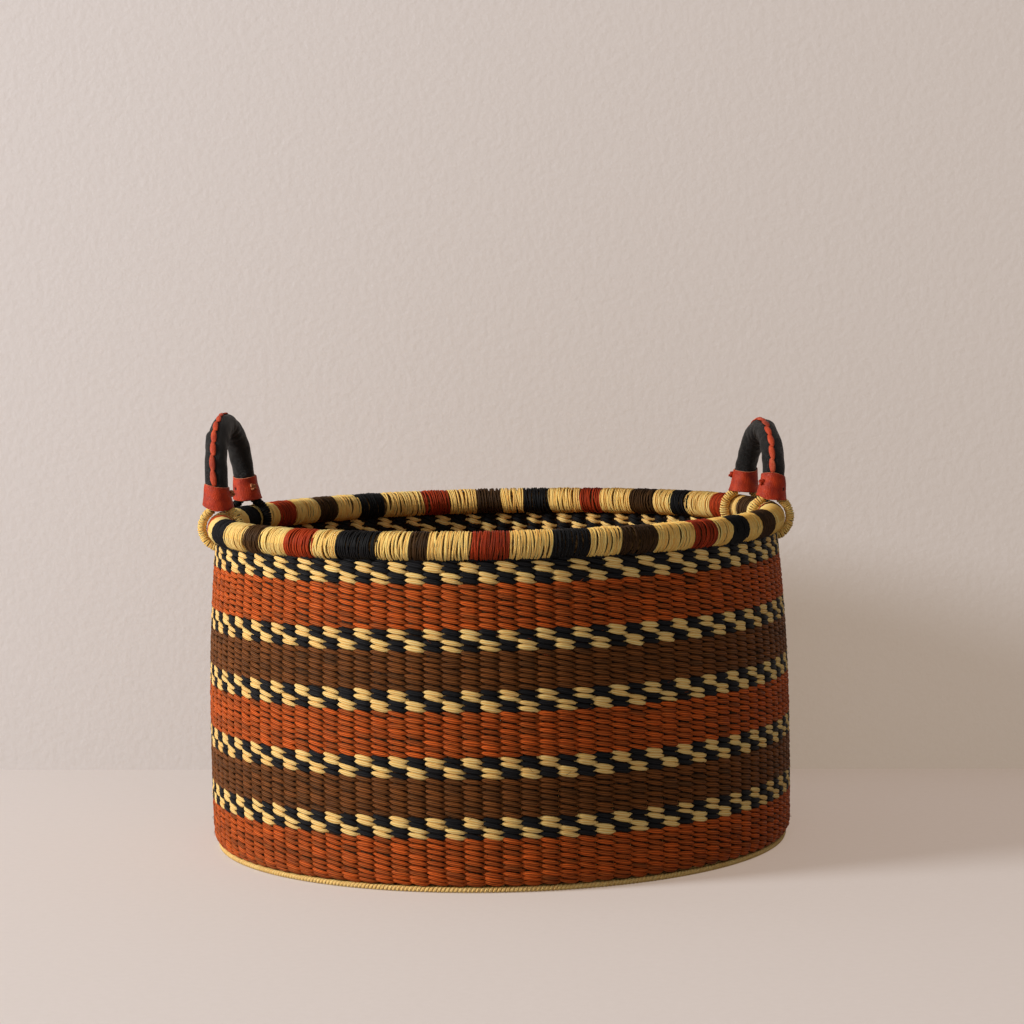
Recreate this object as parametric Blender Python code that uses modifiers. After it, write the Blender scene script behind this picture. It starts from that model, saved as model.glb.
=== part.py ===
"""Round basket of twined grass with two leather-covered handles that turn on its rim.

Metres, +Z up. The origin is on the floor under the middle of the base, and the
handles stand at -X (left) and +X (right), set back a little towards +Y.
"""
import math

import bmesh
import bpy
from mathutils import Matrix, Vector

MM = 0.001
DEGREE = math.pi / 180

# Clearances between pieces, and how far a cutter runs past what it cuts
CLEARANCE = 0.3 * MM
OVERRUN = 4.0 * MM
WELD = 0.01 * MM

# Wall: its outer radius at the belly, and how far it draws in at the mouth and the floor
BELLY_RADIUS = 223.0 * MM
BELLY_HEIGHT = 85.0 * MM
MOUTH_DRAW_IN = 7.4 * MM
FOOT_DRAW_IN = 1.0 * MM
CORNER_RADIUS = 12.0 * MM
WEFT_THICKNESS = 4.2 * MM
STAKE_RADIUS = 1.6 * MM
STAKES = 60

# Height of each kind of woven band, their order from the mouth down, and the band at the foot
BAND_HEIGHTS = {"check": 15.1 * MM, "rust": 31.9 * MM, "brown": 27.4 * MM}
BAND_ORDER = ("check", "rust", "check", "brown", "check", "rust", "check", "brown", "check")
FOOT_BAND = 38.8 * MM

# Base
MAT_THICKNESS = 5.2 * MM
MAT_EDGE_ROUND = 1.0 * MM
EDGE_CORD_RADIUS = 2.2 * MM
HUB_THICKNESS = 3.6 * MM

# Rim: a grass core bound in blocks of dyed strands
RIM_INSET = 5.1 * MM
RIM_BORE = 8.8 * MM
RIM_BLOCK_DIP = 10.1 * MM
RIM_BLOCK_CROWN = 10.5 * MM
RIM_SECTIONS = 9
BLOCKS_PER_SECTION = 6

# Handles: the arch of the grip and its sleeve
HANDLE_SET_BACK = 9.0 * DEGREE
HANDLE_HALF_SPAN = 12.0 * DEGREE
RIGHT_LEAN = 5.5 * DEGREE
LEFT_LEAN = 4.5 * DEGREE
RIGHT_ARCH_RISE = 39.5 * MM
LEFT_ARCH_RISE = 51.6 * MM
SLEEVE_RADIUS = 8.6 * MM
SLEEVE_WALL = 1.8 * MM
ARCH_STEPS = 10

# Cuffs, the knots that pin them, and the red lace along the grip
CUFF_FOOT = 16.8 * MM
CUFF_LENGTH = 16.6 * MM
CUFF_TOP_WALL = 0.9 * MM
CUFF_FOOT_WALL = 2.4 * MM
KNOT_STEM_RADIUS = 1.1 * MM
KNOT_RADIUS = 2.6 * MM
KNOT_HEIGHT = 3.0 * MM
LACE_THIN = 1.0 * MM
LACE_THICK = 1.7 * MM
RIGHT_LACE_STITCHES = 12
LEFT_LACE_STITCHES = 14
RIGHT_LACE_TURN = -25.0 * DEGREE
LEFT_LACE_TURN = 20.0 * DEGREE
RIGHT_KNOT_TURNS = (200.0 * DEGREE, 160.0 * DEGREE)
LEFT_KNOT_TURNS = (150.0 * DEGREE, 200.0 * DEGREE)

# Foot loops: grass rings through the wall, round the rim and up into the cuffs
LOOP_CORD_RADIUS = 3.2 * MM
LOOP_RADIUS = 15.2 * MM
LOOP_LEG_SPREAD = 5.0 * MM
LOOP_BEND = 6.0 * MM
LOOP_TOP = 24.0 * MM
LOOP_END_GAP = 0.8 * MM
LOOP_SLOT_CLEARANCE = 0.8 * MM
LOOP_STEPS = 13

# Colours: linear red, green, blue, and roughness
FINISHES = {
    "straw": ((0.56, 0.42, 0.25), 0.75),
    "rust_straw": ((0.30, 0.075, 0.035), 0.75),
    "brown_straw": ((0.10, 0.055, 0.045), 0.75),
    "black_straw": ((0.022, 0.019, 0.018), 0.70),
    "red_straw": ((0.30, 0.045, 0.030), 0.72),
    "check_straw": ((0.29, 0.22, 0.135), 0.75),
    "black_leather": ((0.014, 0.012, 0.011), 0.45),
    "red_leather": ((0.26, 0.028, 0.018), 0.50),
}
BLOCK_FINISHES = ("black_straw", "straw", "brown_straw", "straw", "red_straw", "straw")

# Sizes that follow from those above
WALL_HEIGHT = FOOT_BAND + sum(BAND_HEIGHTS[kind] for kind in BAND_ORDER)
RIM_RADIUS = BELLY_RADIUS - MOUTH_DRAW_IN - RIM_INSET
RIM_HEIGHT = WALL_HEIGHT + CLEARANCE + RIM_BLOCK_CROWN
STAKE_OFFSET = WEFT_THICKNESS + CLEARANCE + STAKE_RADIUS
STAKE_BEND = CORNER_RADIUS - STAKE_OFFSET
SPOKE_START = STAKES * (2 * STAKE_RADIUS + CLEARANCE / 2) / (2 * math.pi)
HUB_RADIUS = SPOKE_START + OVERRUN
SPOKE_HEIGHT = MAT_THICKNESS + CLEARANCE + HUB_THICKNESS / 2
CORNER_HEIGHT = SPOKE_HEIGHT + STAKE_BEND
CUFF_BORE = SLEEVE_RADIUS + CLEARANCE
ARCH_FOOT = LOOP_TOP + LOOP_END_GAP
CUFF_TOP = CUFF_FOOT + CUFF_LENGTH


def wall_radius(height):
    """Outer radius of the wall: a parabola above the belly, a cubic below it."""
    if height > BELLY_HEIGHT:
        share = (height - BELLY_HEIGHT) / (WALL_HEIGHT - BELLY_HEIGHT)
        return BELLY_RADIUS - MOUTH_DRAW_IN * share ** 2
    share = (BELLY_HEIGHT - height) / BELLY_HEIGHT
    return BELLY_RADIUS - FOOT_DRAW_IN * share ** 3


CORNER_CENTRE = wall_radius(CORNER_HEIGHT) - CORNER_RADIUS
FOOT_BAND_END = 2 * EDGE_CORD_RADIUS + CLEARANCE
CORNER_TURN = math.asin((CORNER_HEIGHT - FOOT_BAND_END) / CORNER_RADIUS)
EDGE_CORD_CENTRE = CORNER_CENTRE + CORNER_RADIUS * math.cos(CORNER_TURN) - EDGE_CORD_RADIUS
MAT_RADIUS = EDGE_CORD_CENTRE - EDGE_CORD_RADIUS - CLEARANCE


def clear_scene():
    """Remove whatever the scene holds."""
    for item in list(bpy.data.objects):
        bpy.data.objects.remove(item, do_unlink=True)


def make_collection(name):
    """Add a collection to the scene."""
    group = bpy.data.collections.new(name)
    bpy.context.scene.collection.children.link(group)
    return group


def make_material(name, colour, roughness):
    """A Principled material of one colour."""
    material = bpy.data.materials.new(name)
    material.use_nodes = True
    shader = material.node_tree.nodes["Principled BSDF"]
    shader.inputs["Base Color"].default_value = (*colour, 1.0)
    shader.inputs["Roughness"].default_value = roughness
    shader.inputs["Metallic"].default_value = 0.0
    material.diffuse_color = (*colour, 1.0)
    return material


def add_object(name, data, group, material=None, parent=None):
    """Put a mesh or curve in the scene under a name, with its material and parent."""
    item = bpy.data.objects.new(name, data)
    group.objects.link(item)
    if material is not None:
        data.materials.append(material)
    if parent is not None:
        item.parent = parent
    return item


def smooth(mesh, sharp_angle=35 * DEGREE):
    """Shade a mesh smooth, with its sharp edges kept."""
    mesh.shade_smooth()
    mesh.set_sharp_from_angle(angle=sharp_angle)


def mesh_from_bmesh(name, shape):
    """Turn a bmesh into a mesh and free it."""
    mesh = bpy.data.meshes.new(name)
    shape.to_mesh(mesh)
    shape.free()
    return mesh


def evaluated_mesh(item, name):
    """The mesh of an object with its modifiers and bevel applied, and its caps welded."""
    bpy.context.view_layer.update()
    graph = bpy.context.evaluated_depsgraph_get()
    source = bpy.data.meshes.new_from_object(item.evaluated_get(graph))
    shape = bmesh.new()
    shape.from_mesh(source)
    bmesh.ops.remove_doubles(shape, verts=shape.verts, dist=WELD)
    bmesh.ops.recalc_face_normals(shape, faces=shape.faces)
    bpy.data.meshes.remove(source)
    return mesh_from_bmesh(name, shape)


def tube_mesh(name, points, radii, bevel_resolution, cyclic=False):
    """A closed tube along points, with a radius at each, as a mesh."""
    thickest = max(radii)
    curve = bpy.data.curves.new(name, "CURVE")
    curve.dimensions = "3D"
    curve.bevel_depth = thickest
    curve.bevel_resolution = bevel_resolution
    curve.use_fill_caps = True
    spline = curve.splines.new("POLY")
    spline.points.add(len(points) - 1)
    spline.use_cyclic_u = cyclic
    for knot, point, radius in zip(spline.points, points, radii):
        knot.co = (*point, 1.0)
        knot.radius = radius / thickest
    guide = bpy.data.objects.new(name, curve)
    bpy.context.scene.collection.objects.link(guide)
    mesh = evaluated_mesh(guide, name)
    bpy.data.objects.remove(guide, do_unlink=True)
    bpy.data.curves.remove(curve)
    smooth(mesh)
    return mesh


def turned(name, profile, group, material, closed, steps=STAKES, parent=None):
    """A solid of revolution about Z. The profile runs down its outer side."""
    shape = bmesh.new()
    corners = [shape.verts.new((radius, 0.0, height)) for radius, height in profile]
    for first, second in zip(corners, corners[1:]):
        shape.edges.new((first, second))
    if closed:
        shape.edges.new((corners[-1], corners[0]))
    item = add_object(name, mesh_from_bmesh(name, shape), group, material, parent)
    screw = item.modifiers.new("turn", "SCREW")
    screw.angle = 2 * math.pi
    screw.steps = steps
    screw.render_steps = steps
    screw.use_merge_vertices = True
    screw.merge_threshold = WELD
    screw.use_smooth_shade = True
    return item


def cut(item, cutter):
    """Take a cutter out of a solid with an exact Boolean."""
    cutter.hide_render = True
    cutter.display_type = "WIRE"
    boolean = item.modifiers.new(cutter.name, "BOOLEAN")
    boolean.operation = "DIFFERENCE"
    boolean.solver = "EXACT"
    boolean.object = cutter


def wall_profile(low, high, steps):
    """The closed section of a woven band: down the outer face and up the inner one."""
    levels = [high - (high - low) * step / steps for step in range(steps + 1)]
    outer = [(wall_radius(level), level) for level in levels]
    inner = [(radius - WEFT_THICKNESS, level) for radius, level in reversed(outer)]
    return outer + inner


def foot_profile(high, steps):
    """The lowest band's section, which turns in at the corner and ends flat over the cord."""
    outer = [(wall_radius(high), high), (wall_radius(CORNER_HEIGHT), CORNER_HEIGHT)]
    inner = [(radius - WEFT_THICKNESS, level) for radius, level in outer]
    for step in range(1, steps + 1):
        turn = CORNER_TURN * step / steps
        for side, reach in ((outer, CORNER_RADIUS), (inner, CORNER_RADIUS - WEFT_THICKNESS)):
            radius = CORNER_CENTRE + reach * math.cos(turn)
            side.append((radius, CORNER_HEIGHT - reach * math.sin(turn)))
    inner.append((inner.pop()[0], FOOT_BAND_END))
    return outer + list(reversed(inner))


def build_bands(group, materials):
    """The ten woven bands, from the top down, each a ring on the one below."""
    counts = dict.fromkeys(BAND_HEIGHTS, 0)
    top = WALL_HEIGHT
    bands = []
    for kind in BAND_ORDER:
        counts[kind] += 1
        low = top - BAND_HEIGHTS[kind]
        name = f"{kind}_band_{counts[kind]}"
        section = wall_profile(low + CLEARANCE, top, 1)
        bands.append(turned(name, section, group, materials[kind + "_straw"], closed=True))
        top = low
    section = foot_profile(top, 2)
    turned("rust_band_3", section, group, materials["rust_straw"], closed=True)
    return bands


def build_base(group, materials):
    """The flat mat that the basket stands on, and the cord round its edge."""
    shape = bmesh.new()
    bmesh.ops.create_cone(
        shape, cap_ends=True, segments=STAKES,
        radius1=MAT_RADIUS, radius2=MAT_RADIUS, depth=MAT_THICKNESS)
    mat = add_object("base_mat", mesh_from_bmesh("base_mat", shape), group, materials["straw"])
    mat.location = (0, 0, MAT_THICKNESS / 2)
    rounding = mat.modifiers.new("edge", "BEVEL")
    rounding.width = MAT_EDGE_ROUND
    rounding.segments = 1
    rounding.limit_method = "ANGLE"
    bpy.ops.mesh.primitive_torus_add(
        major_segments=STAKES, minor_segments=6,
        major_radius=EDGE_CORD_CENTRE, minor_radius=EDGE_CORD_RADIUS,
        location=(0, 0, EDGE_CORD_RADIUS))
    cord = bpy.context.object
    cord.name = "base_edge_cord"
    cord.data.materials.append(materials["straw"])
    smooth(cord.data)
    for owner in list(cord.users_collection):
        owner.objects.unlink(cord)
    group.objects.link(cord)


def stake_route():
    """One stake's centre line, from the hub across the mat, round the corner and up."""
    route = [(SPOKE_START, SPOKE_HEIGHT), (CORNER_CENTRE, SPOKE_HEIGHT)]
    for level in (CORNER_HEIGHT, BELLY_HEIGHT, (BELLY_HEIGHT + WALL_HEIGHT) / 2, WALL_HEIGHT):
        route.append((wall_radius(level) - STAKE_OFFSET, level))
    return route


def build_stakes(group, cutters, materials):
    """The stake frame: a hub, with a stake to each corner of the ring's outline."""
    route = stake_route()
    points = [(radius, 0.0, height) for radius, height in route]
    stake = tube_mesh("stake", points, [STAKE_RADIUS] * len(points), bevel_resolution=0)
    shape = bmesh.new()
    for place in range(STAKES):
        start = len(shape.verts)
        shape.from_mesh(stake)
        shape.verts.ensure_lookup_table()
        turn = Matrix.Rotation(2 * math.pi * place / STAKES, 4, "Z")
        bmesh.ops.transform(shape, matrix=turn, verts=shape.verts[start:])
    spokes = add_object("spokes", mesh_from_bmesh("spokes", shape), cutters)
    spokes.hide_render = True
    spokes.display_type = "WIRE"
    hub_shape = bmesh.new()
    bmesh.ops.create_cone(
        hub_shape, cap_ends=True, segments=STAKES,
        radius1=HUB_RADIUS, radius2=HUB_RADIUS, depth=HUB_THICKNESS)
    half_step = Matrix.Rotation(math.pi / STAKES, 4, "Z")
    bmesh.ops.transform(hub_shape, matrix=half_step, verts=hub_shape.verts)
    hub_mesh = mesh_from_bmesh("stake_frame", hub_shape)
    frame = add_object("stake_frame", hub_mesh, group, materials["straw"])
    frame.location = (0, 0, SPOKE_HEIGHT)
    union = frame.modifiers.new("spokes", "BOOLEAN")
    union.operation = "UNION"
    union.solver = "EXACT"
    union.object = spokes


def rim_point(angle):
    """A point on the rim's centre line."""
    return (RIM_RADIUS * math.cos(angle), RIM_RADIUS * math.sin(angle), RIM_HEIGHT)


def rim_section_mesh(cutters, materials):
    """One repeat of the binding: six crowned blocks, bored for the core."""
    block = 2 * math.pi / (RIM_SECTIONS * BLOCKS_PER_SECTION)
    end_gap = CLEARANCE / (2 * RIM_RADIUS)
    square_end = 2 * end_gap
    angles = [block * step / 2 for step in range(2 * BLOCKS_PER_SECTION + 1)]
    radii = [RIM_BLOCK_CROWN if step % 2 else RIM_BLOCK_DIP for step in range(len(angles))]
    last = angles[-1]
    angles = [end_gap, square_end] + angles[1:-1] + [last - square_end, last - end_gap]
    radii = radii[:1] + radii + radii[-1:]
    outer = tube_mesh("rim_section", [rim_point(angle) for angle in angles], radii, 3)
    solid = add_object("rim_section", outer, cutters)
    bore_angles = [block * step for step in range(-1, BLOCKS_PER_SECTION + 2)]
    bore_points = [rim_point(angle) for angle in bore_angles]
    bore_mesh = tube_mesh("rim_bore", bore_points, [RIM_BORE] * len(bore_points), 2)
    cut(solid, add_object("rim_bore", bore_mesh, cutters))
    mesh = evaluated_mesh(solid, "rim_section")
    for finish in BLOCK_FINISHES:
        mesh.materials.append(materials[finish])
    for face in mesh.polygons:
        angle = math.atan2(face.center.y, face.center.x)
        face.material_index = min(int(max(angle, 0.0) / block), BLOCKS_PER_SECTION - 1)
    smooth(mesh)
    solid.hide_render = True
    solid.display_type = "WIRE"
    return mesh


def build_rim(group, cutters, materials):
    """The rim's grass core, and its binding in nine equal sections."""
    steps = RIM_SECTIONS * BLOCKS_PER_SECTION
    points = [rim_point(2 * math.pi * step / steps) for step in range(steps)]
    radii = [RIM_BORE - CLEARANCE] * steps
    core = tube_mesh("rim_core", points, radii, 2, cyclic=True)
    add_object("rim_core", core, group, materials["straw"])
    section = rim_section_mesh(cutters, materials)
    for place in range(RIM_SECTIONS):
        item = add_object(f"rim_wrap_{place + 1}", section, group)
        item.rotation_euler = (0, 0, 2 * math.pi * place / RIM_SECTIONS)


def arch_point(rise, turn):
    """The grip's centre line in its pivot's frame: half an ellipse over the rim."""
    half_width = RIM_RADIUS * math.sin(HANDLE_HALF_SPAN)
    return Vector((0, -half_width * math.cos(turn), ARCH_FOOT + rise * math.sin(turn)))


def cuff_turn(rise):
    """The turn round the arch at a cuff's top."""
    return math.asin((CUFF_TOP - ARCH_FOOT) / rise)


def arch_turns(rise):
    """The arch's steps: two up to each cuff's top, and even steps between the cuffs."""
    first = cuff_turn(rise)
    low = [0.0, first / 2, first]
    span = math.pi - 2 * first
    middle = [first + span * step / ARCH_STEPS for step in range(1, ARCH_STEPS)]
    return low + middle + [math.pi - turn for turn in reversed(low)]


def lengthened(points):
    """A route that runs straight on past both its ends."""
    start = (points[0] - points[1]).normalized() * OVERRUN
    end = (points[-1] - points[-2]).normalized() * OVERRUN
    return [points[0] + start] + points + [points[-1] + end]


def bored_tube(name, points, radii, bore, group, cutters, material, pivot):
    """A tube along a route, with a round bore right through it."""
    solid = add_object(name, tube_mesh(name, points, radii, 4), group, material, pivot)
    route = lengthened(points)
    bore_mesh = tube_mesh(name + "_bore", route, [bore] * len(route), 4)
    cut(solid, add_object(name + "_bore", bore_mesh, cutters, parent=pivot))
    return solid


def build_lace(name, rise, stitches, side_turn, group, material, pivot):
    """The lace on the sleeve's convex side, one swelling for each stitch."""
    steps = 2 * stitches
    end_gap = (CLEARANCE + LACE_THIN) / rise
    first = cuff_turn(rise) + end_gap
    span = math.pi - 2 * first
    half_width = RIM_RADIUS * math.sin(HANDLE_HALF_SPAN)
    points = []
    radii = []
    for step in range(steps + 1):
        turn = first + span * step / steps
        radius = LACE_THICK if step % 2 else LACE_THIN
        square = Vector((0, -rise * math.cos(turn), half_width * math.sin(turn)))
        outward = square.normalized()
        direction = outward * math.cos(side_turn) + Vector((math.sin(side_turn), 0, 0))
        reach = SLEEVE_RADIUS + CLEARANCE + radius
        points.append(arch_point(rise, turn) + direction * reach)
        radii.append(radius)
    add_object(name, tube_mesh(name, points, radii, 1), group, material, pivot)


def build_cuff(name, points, knot_turn, group, cutters, materials, pivot):
    """A red cuff round the grip's foot, and the thong knot that pins it."""
    lengths = [(point - points[0]).length for point in points]
    radii = []
    for length in lengths:
        wall = CUFF_FOOT_WALL + (CUFF_TOP_WALL - CUFF_FOOT_WALL) * length / lengths[-1]
        radii.append(CUFF_BORE + wall)
    red = materials["red_leather"]
    cuff = bored_tube(name, points, radii, CUFF_BORE, group, cutters, red, pivot)
    place = points[2]
    along = (points[3] - points[1]).normalized()
    across = Vector((1, 0, 0))
    sideways = along.cross(across)
    direction = across * math.cos(knot_turn) + sideways * math.sin(knot_turn)
    frame = Matrix.Translation(place) @ direction.to_track_quat("Z", "Y").to_matrix().to_4x4()
    stem_foot = SLEEVE_RADIUS + CLEARANCE
    knot_foot = radii[2] + CLEARANCE
    profile = [(0, knot_foot + KNOT_HEIGHT)]
    for turn in (30 * DEGREE, 60 * DEGREE, 90 * DEGREE, 125 * DEGREE):
        level = knot_foot + KNOT_HEIGHT * (1 + math.cos(turn)) / 2
        profile.append((KNOT_RADIUS * math.sin(turn), level))
    profile.append((KNOT_STEM_RADIUS, knot_foot))
    profile.append((KNOT_STEM_RADIUS, stem_foot))
    profile.append((0, stem_foot))
    knot = turned(name.replace("cuff", "knot"), profile, group, red, False, 8, pivot)
    knot.matrix_local = frame
    shape = bmesh.new()
    hole_depth = 2 * (radii[2] + OVERRUN - CUFF_BORE / 2)
    hole_radius = KNOT_STEM_RADIUS + CLEARANCE
    bmesh.ops.create_cone(
        shape, cap_ends=True, segments=8, radius1=hole_radius, radius2=hole_radius,
        depth=hole_depth)
    middle = Matrix.Translation((0, 0, CUFF_BORE / 2 + hole_depth / 2))
    bmesh.ops.transform(shape, matrix=middle, verts=shape.verts)
    hole = add_object(name + "_hole", mesh_from_bmesh(name + "_hole", shape), cutters)
    hole.parent = pivot
    hole.matrix_local = frame
    cut(cuff, hole)


def loop_route(offset):
    """A foot loop's centre line: up the outer leg, round the rim and up the inner leg."""
    bend_x = LOOP_LEG_SPREAD + LOOP_BEND
    bend_z = math.sqrt((LOOP_RADIUS + LOOP_BEND) ** 2 - bend_x ** 2)
    meet = math.atan2(bend_x, bend_z)
    route = [(LOOP_LEG_SPREAD, LOOP_TOP), (LOOP_LEG_SPREAD, bend_z)]
    for share in (1 / 3, 2 / 3):
        turn = (math.pi / 2 - meet) * share
        route.append((bend_x - LOOP_BEND * math.cos(turn), bend_z - LOOP_BEND * math.sin(turn)))
    for step in range(LOOP_STEPS + 1):
        turn = meet + (2 * math.pi - 2 * meet) * step / LOOP_STEPS
        route.append((LOOP_RADIUS * math.sin(turn), LOOP_RADIUS * math.cos(turn)))
    for share in (2 / 3, 1 / 3):
        turn = (math.pi / 2 - meet) * share
        route.append((-bend_x + LOOP_BEND * math.cos(turn), bend_z - LOOP_BEND * math.sin(turn)))
    route.append((-LOOP_LEG_SPREAD, bend_z))
    route.append((-LOOP_LEG_SPREAD, LOOP_TOP))
    return [(across, offset, height) for across, height in route]


def build_slot(name, offset, wall, cutters, pivot_place):
    """The gap in the top band's weave where a foot loop passes under the rim."""
    width = 2 * (LOOP_CORD_RADIUS + LOOP_SLOT_CLEARANCE)
    bottom = -(LOOP_RADIUS + LOOP_CORD_RADIUS + LOOP_SLOT_CLEARANCE)
    height = OVERRUN - bottom
    depth = 4 * (WEFT_THICKNESS + OVERRUN)
    shape = bmesh.new()
    bmesh.ops.create_cube(shape, size=1.0)
    bmesh.ops.scale(shape, vec=(depth, width, height), verts=shape.verts)
    place = Matrix.Translation((0, offset, bottom + height / 2))
    bmesh.ops.transform(shape, matrix=place, verts=shape.verts)
    slot = add_object(name, mesh_from_bmesh(name, shape), cutters)
    slot.matrix_world = pivot_place
    cut(wall, slot)


def build_handle(side, facing, lean, rise, lace, knot_turns, group, cutters, materials, wall):
    """One handle on its pivot: the pivot's Y runs along the chord between its feet."""
    chord_radius = RIM_RADIUS * math.cos(HANDLE_HALF_SPAN)
    place = Matrix.Rotation(facing, 4, "Z") @ Matrix.Translation((chord_radius, 0, RIM_HEIGHT))
    pivot = bpy.data.objects.new(side + "_pivot", None)
    group.objects.link(pivot)
    pivot.matrix_world = place @ Matrix.Rotation(lean, 4, "Y")
    grip = [arch_point(rise, turn) for turn in arch_turns(rise)]
    drop = Vector((0, 0, CUFF_FOOT - ARCH_FOOT))
    black = materials["black_leather"]
    bored_tube(
        side + "_sleeve", grip, [SLEEVE_RADIUS] * len(grip), SLEEVE_RADIUS - SLEEVE_WALL,
        group, cutters, black, pivot)
    core_radii = [SLEEVE_RADIUS - SLEEVE_WALL - CLEARANCE] * len(grip)
    core = tube_mesh(side + "_grip_core", grip, core_radii, 4)
    add_object(side + "_grip_core", core, group, materials["straw"], pivot)
    stitches, lace_turn = lace
    red = materials["red_leather"]
    build_lace(side + "_lace", rise, stitches, lace_turn, group, red, pivot)
    feet = (("a", grip[:3]), ("b", list(reversed(grip))[:3]))
    for (letter, foot), knot_turn in zip(feet, knot_turns):
        name = f"{side}_cuff_{letter}"
        build_cuff(name, [foot[0] + drop] + foot, knot_turn, group, cutters, materials, pivot)
        offset = foot[0].y
        route = loop_route(offset)
        loop = tube_mesh(f"{side}_loop_{letter}", route, [LOOP_CORD_RADIUS] * len(route), 2)
        add_object(f"{side}_loop_{letter}", loop, group, materials["straw"], pivot)
        build_slot(f"{side}_slot_{letter}", offset, wall, cutters, place)


def main():
    """Build the whole basket."""
    clear_scene()
    group = make_collection("grass_basket")
    cutters = make_collection("cutters")
    materials = {}
    for name, (colour, roughness) in FINISHES.items():
        materials[name] = make_material(name, colour, roughness)
    build_base(group, materials)
    build_stakes(group, cutters, materials)
    bands = build_bands(group, materials)
    build_rim(group, cutters, materials)
    right_lace = (RIGHT_LACE_STITCHES, RIGHT_LACE_TURN)
    build_handle(
        "right", HANDLE_SET_BACK, RIGHT_LEAN, RIGHT_ARCH_RISE, right_lace, RIGHT_KNOT_TURNS,
        group, cutters, materials, bands[0])
    left_lace = (LEFT_LACE_STITCHES, LEFT_LACE_TURN)
    build_handle(
        "left", math.pi - HANDLE_SET_BACK, LEFT_LEAN, LEFT_ARCH_RISE, left_lace, LEFT_KNOT_TURNS,
        group, cutters, materials, bands[0])


main()
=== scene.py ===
# Twined grass basket with a bound rim and two leather-covered handles that turn on it.
# Metres, +Z up, floor at 0; the camera looks along +Y and the handles stand left and right.
import math

import bpy
import numpy as np
from mathutils import Euler, Matrix, Vector


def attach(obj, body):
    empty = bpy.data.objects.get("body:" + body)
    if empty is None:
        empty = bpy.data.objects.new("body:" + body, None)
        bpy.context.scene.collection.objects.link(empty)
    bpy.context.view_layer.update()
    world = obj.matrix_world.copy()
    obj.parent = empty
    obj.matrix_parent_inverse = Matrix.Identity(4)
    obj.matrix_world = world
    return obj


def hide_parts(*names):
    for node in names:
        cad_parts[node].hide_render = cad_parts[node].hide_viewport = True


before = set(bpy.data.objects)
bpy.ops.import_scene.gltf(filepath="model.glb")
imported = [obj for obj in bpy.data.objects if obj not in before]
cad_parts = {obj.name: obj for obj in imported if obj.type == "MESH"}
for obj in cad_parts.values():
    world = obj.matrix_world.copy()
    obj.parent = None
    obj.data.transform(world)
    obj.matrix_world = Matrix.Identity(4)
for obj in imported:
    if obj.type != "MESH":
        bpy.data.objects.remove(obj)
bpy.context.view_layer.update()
mm = 0.001
turn = 2 * math.pi
stitchLength = 13.2 * mm  # one stake to the next, and the length that u = 1 stands for


# an sRGB colour from 0 to 255 as the linear one that a shader takes
def dye(red, green, blue):
    share = np.array([red, green, blue]) / 255
    linear = np.where(share < 0.04045, share / 12.92, ((share + 0.055) / 1.055) ** 2.4)
    return (*linear.tolist(), 1.0)


def unit(vectors):
    return vectors / np.linalg.norm(vectors, axis=-1, keepdims=True)


def wrapAngle(angle):
    return np.mod(angle + math.pi, turn) - math.pi


def smoothStep(low, high, value):
    share = np.clip((value - low) / (high - low), 0, 1)
    return share * share * (3 - 2 * share)


# points[s, i, j] is point j round the section at step i of strand s, and neighbours make quads.
# A closed strand joins its last step to its first; an open one gets a flat cap at each end.
def strandObject(name, points, closed, finishes, shade, stepLength, slots=None):
    strands, steps, around, _ = points.shape
    index = np.arange(strands * steps * around).reshape(strands, steps, around)
    here = index if closed else index[:, :-1]
    ahead = np.roll(index, -1, axis=1) if closed else index[:, 1:]
    quads = np.stack((here, np.roll(here, -1, 2), np.roll(ahead, -1, 2), ahead), -1)
    count = quads.shape[1]
    i, j = np.meshgrid(np.arange(count), np.arange(around), indexing="ij")
    corners = np.stack((i, j, i, j + 1, i + 1, j + 1, i + 1, j), -1).astype(float)
    corners = corners.reshape(count, around, 4, 2) * (stepLength / stitchLength, 1 / around)
    uv = np.broadcast_to(corners, (strands, count, around, 4, 2)).reshape(-1, 2)
    loops = quads.ravel()
    sizes = np.full(loops.size // 4, 4)
    if slots is None:
        slots = np.zeros(strands, int)
    slots = np.broadcast_to(np.reshape(slots, (strands, -1, 1)), (strands, count, around)).ravel()
    if not closed:
        caps = np.concatenate((index[:, 0, ::-1], index[:, -1]))
        loops = np.concatenate((loops, caps.ravel()))
        sizes = np.concatenate((sizes, np.full(len(caps), around)))
        uv = np.concatenate((uv, np.zeros((caps.size, 2))))
        slots = np.concatenate((slots, np.zeros(len(caps), int)))
    mesh = bpy.data.meshes.new(name)
    mesh.vertices.add(index.size)
    mesh.vertices.foreach_set("co", points.astype(np.float32).ravel())
    mesh.loops.add(loops.size)
    mesh.loops.foreach_set("vertex_index", loops.astype(np.int32))
    mesh.polygons.add(sizes.size)
    mesh.polygons.foreach_set("loop_start", (np.cumsum(sizes) - sizes).astype(np.int32))
    for finish in finishes:
        mesh.materials.append(finish)
    mesh.polygons.foreach_set("material_index", slots.astype(np.int32))
    mesh.update(calc_edges=True)
    mesh.uv_layers.new(name="strand").data.foreach_set("uv", uv.astype(np.float32).ravel())
    values = shade if np.ndim(shade) == 3 else np.reshape(shade, (strands, -1, 1))
    values = np.broadcast_to(values, index.shape)
    mesh.attributes.new("shade", "FLOAT", "POINT").data.foreach_set(
        "value", values.astype(np.float32).ravel())
    mesh.shade_smooth()
    item = bpy.data.objects.new(name, mesh)
    bpy.context.scene.collection.objects.link(item)
    return item


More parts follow.
